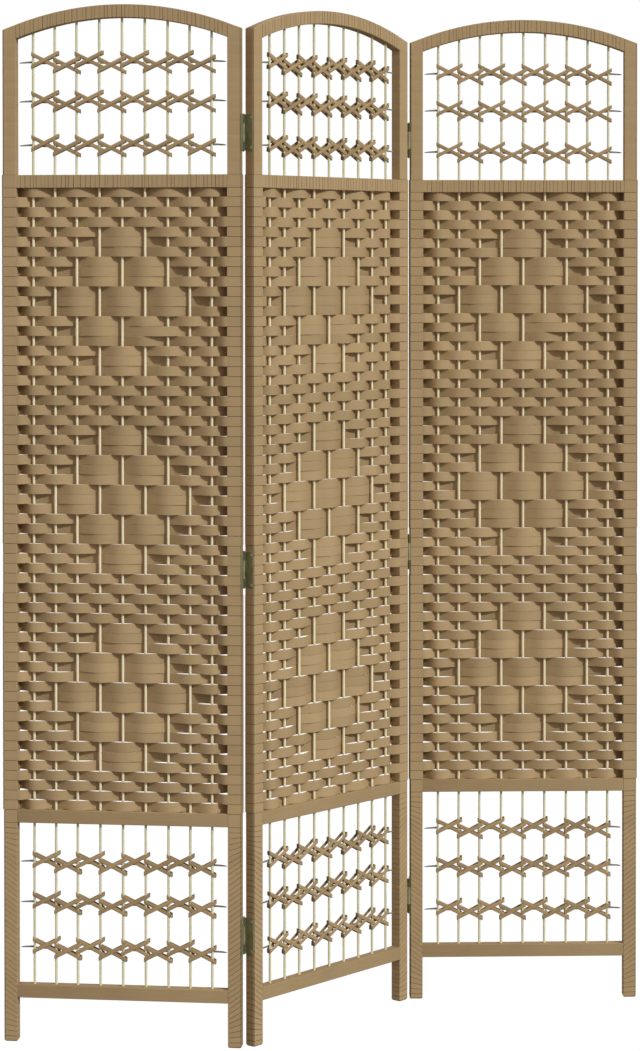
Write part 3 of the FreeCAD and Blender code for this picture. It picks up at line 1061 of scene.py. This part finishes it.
def plate(solid, outline, start, end, soft, tone):
    """A flat plate from an outline of (y, z) points, between two places along X, with softened edges."""
    step = math.copysign(soft, end - start)
    centre_y = sum(y for y, _ in outline) / len(outline)
    centre_z = sum(z for _, z in outline) / len(outline)
    sections = []
    for x, inset in ((start, 0.0), (end - step, 0.0), (end, soft)):
        section = []
        for y, z in outline:
            toward_y = math.copysign(inset, centre_y - y)
            toward_z = math.copysign(inset, centre_z - z)
            section.append((x, y + toward_y, z + toward_z))
        sections.append(section)
    solid.sweep(sections, [tone] * len(sections))


def rounded_box_outline(y0, y1, z0, z1, corner, steps=4):
    """A rectangle with round corners."""
    points = []
    low_y, high_y = min(y0, y1), max(y0, y1)
    centres = ((high_y - corner, z1 - corner), (low_y + corner, z1 - corner))
    centres += ((low_y + corner, z0 + corner), (high_y - corner, z0 + corner))
    for quarter, (y, z) in enumerate(centres):
        for step in range(steps + 1):
            turn = math.pi / 2 * (quarter + step / steps)
            points.append((y + corner * math.cos(turn), z + corner * math.sin(turn)))
    return points


def knuckle(solid, hinges, foot, head, tone):
    """A rolled knuckle: a short tube with softened rims round the hinge line."""
    outer, inner, soft = hinges.barrel_radius, hinges.bore_radius, hinges.barrel_edge
    profile = ((inner, foot), (outer - soft, foot), (outer, foot + soft), (outer, head - soft))
    profile += ((outer - soft, head), (inner, head))
    turns = around(hinges.barrel_sides)
    sections = []
    for radius, height in profile:
        sections.append([(radius * math.cos(t), radius * math.sin(t), height) for t in turns])
    solid.sweep(sections, [tone] * len(sections), endless=True)


def leaves_mesh(name, hinges, side, face, spans):
    """Leaves of one hinge line with their knuckles. side is -1 left and 1 right, face is 1 at the back."""
    solid = Solid()
    outside = side * axis_beside
    inside = side * (axis_beside - hinges.leaf_thick)
    room = hinges.barrel_radius + hinges.barrel_gap
    near, lap = -face * room, -face * (room + hinges.neck_lap)
    far = -face * (hinges.leaf_width + axis_back - half_depth)
    tone = hinges.end_tone if len(spans) > 1 else hinges.middle_tone
    for height in hinge_heights:
        foot, head = height - hinge_length / 2, height + hinge_length / 2
        outline = rounded_box_outline(near, far, foot, head, hinges.leaf_corner)
        plate(solid, outline, outside, inside, hinges.leaf_edge, hinges.leaf_tone)
        for low, high in spans:
            neck = rounded_box_outline(lap, 0.0, foot + low, foot + high, hinges.neck_corner)
            plate(solid, neck, outside, inside, hinges.leaf_edge, hinges.leaf_tone)
            knuckle(solid, hinges, foot + low, foot + high, tone)
    return solid.mesh(name)


# Outline of a pin's head from its crown to its foot, as shares of its radius and of its height
PIN_HEAD = ((0.25, 1.0), (0.75, 0.75), (1.0, 0.3), (1.0, 0.05))


def pins_mesh(hinges):
    """Pins with a domed head at each end."""
    solid = Solid()
    half = hinge_length / 2
    end = [(hinges.pin_head_radius * wide, half + hinges.pin_head * tall) for wide, tall in PIN_HEAD]
    end.append((hinges.pin_radius, half))
    profile = [(radius, -rise) for radius, rise in end] + list(reversed(end))
    radii = [radius for radius, _ in profile]
    for height in hinge_heights:
        heights = [height + rise for _, rise in profile]
        upright_bar(solid, 0.0, heights, radii, [hinges.pin_tone] * len(profile), hinges.pin_sides)
    return solid.mesh("hinge_pins")


# Rings of a screw head as shares: radius and height of its groove, its rim and its crown, and the foot of
# its cross recess
SCREW_GROOVE = (1.02, 0.2)
SCREW_RIM = (1.0, 0.5)
SCREW_CROWN = (0.85, 0.95)
SLOT_FOOT = 0.85


def screws_mesh(name, hinges, side, face):
    """Countersunk screw heads with a cross recess, two to a leaf, with painted highlight and painted shadow.
    """
    solid = Solid()
    level = side * (axis_beside - hinges.leaf_thick)
    far = -face * (hinges.leaf_width + axis_back - half_depth - hinges.screw_inset)
    arm, half_slot = hinges.screw_radius * hinges.slot_reach, hinges.screw_radius * hinges.slot_half
    cross = []
    for quarter in range(4):
        turn = Matrix.Rotation(math.pi / 2 * quarter, 2)
        corners = ((arm, -half_slot), (arm, half_slot), (half_slot, half_slot))
        cross += [turn @ Vector(corner) for corner in corners]
    rim = [point.normalized() * hinges.screw_radius for point in cross]
    rise, dark, painted_highlight = hinges.screw_rise, hinges.painted_shadow_tone, hinges.screw_painted_highlight
    # The dark rings and the recess's foot are painted shadow; the head's rings are a painted highlight
    layers = [
        (rim, hinges.painted_shadow_ring, hinges.screw_sunk, dark),
        (rim, hinges.painted_shadow_ring, -rise * SCREW_GROOVE[1], dark),
        (rim, SCREW_GROOVE[0], -rise * SCREW_GROOVE[1], dark),
        (rim, SCREW_RIM[0], -rise * SCREW_RIM[1], painted_highlight),
        (rim, SCREW_CROWN[0], -rise * SCREW_CROWN[1], painted_highlight),
        (cross, 1.0, -rise, painted_highlight),
        (cross, SLOT_FOOT, hinges.slot_depth, dark),
    ]
    reach = hinge_length / 2 - hinges.screw_end
    for height in hinge_heights:
        for middle in (height - reach, height + reach):
            sections = []
            for outline, scale, depth, _ in layers:
                x = level + side * depth
                sections.append([(x, far + scale * point.x, middle + scale * point.y) for point in outline])
            solid.sweep(sections, [tone for *_, tone in layers])
    return solid.mesh(name)


def hinge_lines():
    """Each hinge line: name, place, its side of the panels, and the turn and body of both leaves."""
    return (
        ("ridge_hinge", ridge_line, 1, (0.0, "left_panel"), (middle_turn, "middle_panel")),
        ("valley_hinge", valley_line, -1, (middle_turn, "middle_panel"), (right_turn, "right_panel")),
    )


def at_hinge(line, turn):
    """The matrix that sets a hinge piece on its line."""
    return Matrix.Translation(line) @ Matrix.Rotation(turn, 4, "Z")


class ScreenOperator:
    """What the operators of this file share."""

    bl_options = {"REGISTER", "UNDO"}


class SCREEN_OT_posts(ScreenOperator, bpy.types.Operator):
    """Builds the posts in their fibre wrap"""

    bl_idname = "screen.posts"
    bl_label = "Wrapped posts"

    def execute(self, context):
        wraps, weave = context.scene.screen_wraps, context.scene.screen_weave
        finish = finish_once("level_fibre_wrap", level_fibre)
        for mirror, part in enumerate(SIDES):
            place_on_panels(post_mesh(wraps, weave, mirror), part, "wrapped", "frame", finish)
        return {"FINISHED"}


class SCREEN_OT_wrapped_rails(ScreenOperator, bpy.types.Operator):
    """Builds the arched top rails and the upper cross rails in their wrap"""

    bl_idname = "screen.wrapped_rails"
    bl_label = "Wrapped rails"

    def execute(self, context):
        wraps = context.scene.screen_wraps
        finish = finish_once("upright_fibre_wrap", upright_fibre)
        arch = wrapped_rail("arch_rail", arch_heights, wraps, wraps.arch_seed)
        place_on_panels(arch, "arch_rail", "wrapped", "frame", finish)
        upper = wrapped_rail("upper_rail", upper_heights, wraps, wraps.upper_seed)
        place_on_panels(upper, "upper_rail", "wrapped", "frame", finish)
        return {"FINISHED"}


class SCREEN_OT_plain_rails(ScreenOperator, bpy.types.Operator):
    """Builds the smooth lower cross rails and bottom rails"""

    bl_idname = "screen.plain_rails"
    bl_label = "Plain rails"

    def execute(self, context):
        wraps = context.scene.screen_wraps
        finish = finish_once("level_fibre_wrap", level_fibre)
        lower = plain_rail("lower_rail", lower_low, lower_high, rod_radius * BATTEN_ROOM, wraps)
        place_on_panels(lower, "lower_rail", "smooth", "frame", finish)
        bottom = plain_rail("bottom_rail", bottom_low, bottom_high, 0.0, wraps)
        place_on_panels(bottom, "bottom_rail", "smooth", "frame", finish)
        return {"FINISHED"}


class SCREEN_OT_rods(ScreenOperator, bpy.types.Operator):
    """Builds the round rods"""

    bl_idname = "screen.rods"
    bl_label = "Rods"

    def execute(self, context):
        mesh = rods_mesh(context.scene.screen_rods)
        place_on_panels(mesh, "warp_rods", "round", "rod", finish_once("bare_rod", bare_rod))
        return {"FINISHED"}


class SCREEN_OT_weave(ScreenOperator, bpy.types.Operator):
    """Builds the woven strips"""

    bl_idname = "screen.weave"
    bl_label = "Weave"

    def execute(self, context):
        finish = finish_once("level_fibre_strip", level_fibre)
        mesh = weave_mesh(context.scene.screen_weave, context.scene.screen_wraps)
        place_on_panels(mesh, "weft_strips", "woven", "fibre", finish)
        return {"FINISHED"}


class SCREEN_OT_ties(ScreenOperator, bpy.types.Operator):
    """Builds the crossed ties of the open lattices"""

    bl_idname = "screen.ties"
    bl_label = "Ties"

    def execute(self, context):
        finish = finish_once("level_fibre_strip", level_fibre)
        mesh = ties_mesh(context.scene.screen_ties)
        place_on_panels(mesh, "tie_strips", "folded", "fibre", finish)
        return {"FINISHED"}


class SCREEN_OT_wires(ScreenOperator, bpy.types.Operator):
    """Builds the wires behind the ties"""

    bl_idname = "screen.wires"
    bl_label = "Wires"

    def execute(self, context):
        mesh = wires_mesh(context.scene.screen_ties)
        place_on_panels(mesh, "tie_wires", "tapered", "wire", finish_once("dull_wire", dull_wire))
        return {"FINISHED"}


class SCREEN_OT_hinges(ScreenOperator, bpy.types.Operator):
    """Builds the hinge leaves with their knuckles, the pins and the screws"""

    bl_idname = "screen.hinges"
    bl_label = "Hinges"

    def execute(self, context):
        hinges = context.scene.screen_hinges
        finish = finish_once("aged_brass", aged_brass)
        end, gap = hinges.end_knuckle, hinges.knuckle_gap
        outer_spans = ((0.0, end), (hinge_length - end, hinge_length))
        middle_span = ((end + gap, hinge_length - end - gap),)
        sides = (("left", -1, outer_spans), ("right", 1, middle_span))
        for name, line, face, *seats in hinge_lines():
            for (word, side, spans), (turn, body) in zip(sides, seats):
                at = at_hinge(line, turn)
                leaves = f"{name}_{word}_leaves"
                mesh = leaves_mesh(leaves, hinges, side, face, spans)
                place(mesh, f"{leaves}_rolled", at, body, leaves, "brass", finish)
                screws = screws_mesh(f"{name}_{word}_screws", hinges, side, face)
                place(screws, f"{name}_{word}_screws", at, body, None, "brass", finish)
            pins = f"{name}_pins"
            turn, body = seats[0]
            place(pins_mesh(hinges), f"{pins}_domed", at_hinge(line, turn), body, pins, "brass", finish)
        return {"FINISHED"}


class SCREEN_OT_stage(ScreenOperator, bpy.types.Operator):
    """Builds the floor, the light and the camera"""

    bl_idname = "screen.stage"
    bl_label = "Stage"

    def execute(self, context):
        settings = context.scene.screen_stage
        self.floor(context, settings)
        self.light(context, settings)
        self.camera(context, settings)
        context.scene.view_settings.view_transform = "Standard"
        return {"FINISHED"}

    def floor(self, context, settings):
        """A pale floor that the light leaves alone."""
        reach = settings.floor_reach
        mesh = bpy.data.meshes.new("floor")
        corners = [(-reach, -reach, 0), (reach, -reach, 0), (reach, reach, 0), (-reach, reach, 0)]
        mesh.from_pydata(corners, [], [(0, 1, 2, 3)])
        finish = Finish(bpy.data.materials.new("pale_floor"))
        colours = context.scene.screen_colours
        mesh.materials.append(
            finish.surface(
                Base_Color=(*colours.floor_shade, 1),
                Roughness=0.9,
                Specular_IOR_Level=0.0,
                Emission_Color=(*colours.floor, 1),
                Emission_Strength=settings.floor_glow,
            )
        )
        floor = bpy.data.objects.new("floor", mesh)
        context.scene.collection.objects.link(floor)
        floor.visible_diffuse = False
        floor.visible_glossy = False

    def light(self, context, settings):
        """A main light, a soft sky that fades towards the ground, and a white backdrop for the camera."""
        sun = bpy.data.lights.new("main_light", "SUN")
        sun.energy = settings.sun_strength
        sun.color = settings.sun_colour
        sun.angle = settings.sun_angle
        lamp = bpy.data.objects.new("main_light", sun)
        lamp.rotation_euler = Vector(settings.sun_from).to_track_quat("Z", "Y").to_euler()
        context.scene.collection.objects.link(lamp)
        world = bpy.data.worlds.new("studio")
        context.scene.world = world
        studio = Finish(world)
        direction = studio.node("ShaderNodeTexCoord", output="Generated")
        height = studio.node("ShaderNodeSeparateXYZ", {}, {"Vector": direction}, "Z")
        span = {"From Min": settings.sky_foot, "From Max": -settings.sky_foot}
        span |= {"To Min": settings.sky_strength * settings.ground_share, "To Max": settings.sky_strength}
        strength = studio.node("ShaderNodeMapRange", {}, {"Value": height, **span})
        tint = (*settings.sky_colour, 1)
        sky = studio.node("ShaderNodeBackground", {}, {"Color": tint, "Strength": strength})
        backdrop = studio.node("ShaderNodeBackground", {}, {"Color": (1, 1, 1, 1)})
        seen = studio.node("ShaderNodeLightPath", output="Is Camera Ray")
        shown = studio.node("ShaderNodeMixShader", {}, {0: seen, 1: sky, 2: backdrop})
        studio.node("ShaderNodeOutputWorld", {}, {"Surface": shown})

    def camera(self, context, settings):
        """A camera at the photograph's viewing angle."""
        lens = bpy.data.cameras.new("camera")
        lens.sensor_width = SENSOR
        lens.lens = settings.camera_lens
        lens.shift_x = settings.shift_across
        lens.shift_y = settings.shift_up
        lens.clip_end = CLIP_END
        camera = bpy.data.objects.new("camera", lens)
        camera.location = settings.camera_place
        camera.rotation_euler = (math.pi / 2 - settings.camera_dip, 0, settings.camera_turn)
        context.scene.collection.objects.link(camera)
        context.scene.camera = camera


class SCREEN_PT_panel(bpy.types.Panel):
    """Lists the operators of this file"""

    bl_label = "Woven folding screen"
    bl_idname = "SCREEN_PT_panel"
    bl_space_type = "VIEW_3D"
    bl_region_type = "UI"
    bl_category = "Screen"

    def draw(self, context):
        for operator in OPERATORS:
            self.layout.operator(operator.bl_idname)


OPERATORS = (
    SCREEN_OT_posts,
    SCREEN_OT_wrapped_rails,
    SCREEN_OT_plain_rails,
    SCREEN_OT_rods,
    SCREEN_OT_weave,
    SCREEN_OT_ties,
    SCREEN_OT_wires,
    SCREEN_OT_hinges,
    SCREEN_OT_stage,
)
SETTINGS = {
    "screen_wraps": WrapSizes,
    "screen_rods": RodSizes,
    "screen_weave": WeaveSizes,
    "screen_ties": TieSizes,
    "screen_hinges": HingeSizes,
    "screen_colours": ScreenColours,
    "screen_stage": StageSettings,
}


def register():
    """Registers the settings, the operators and the panel."""
    for name, group in SETTINGS.items():
        bpy.utils.register_class(group)
        setattr(bpy.types.Scene, name, PointerProperty(type=group))
    for operator in OPERATORS:
        bpy.utils.register_class(operator)
    bpy.utils.register_class(SCREEN_PT_panel)


def unregister():
    """Takes back what register did."""
    bpy.utils.unregister_class(SCREEN_PT_panel)
    for operator in reversed(OPERATORS):
        bpy.utils.unregister_class(operator)
    for name, group in SETTINGS.items():
        delattr(bpy.types.Scene, name)
        bpy.utils.unregister_class(group)


def main():
    """Builds every piece and the stage."""
    register()
    for operator in OPERATORS:
        group, name = operator.bl_idname.split(".")
        getattr(getattr(bpy.ops, group), name)()


if __name__ == "__main__":
    main()
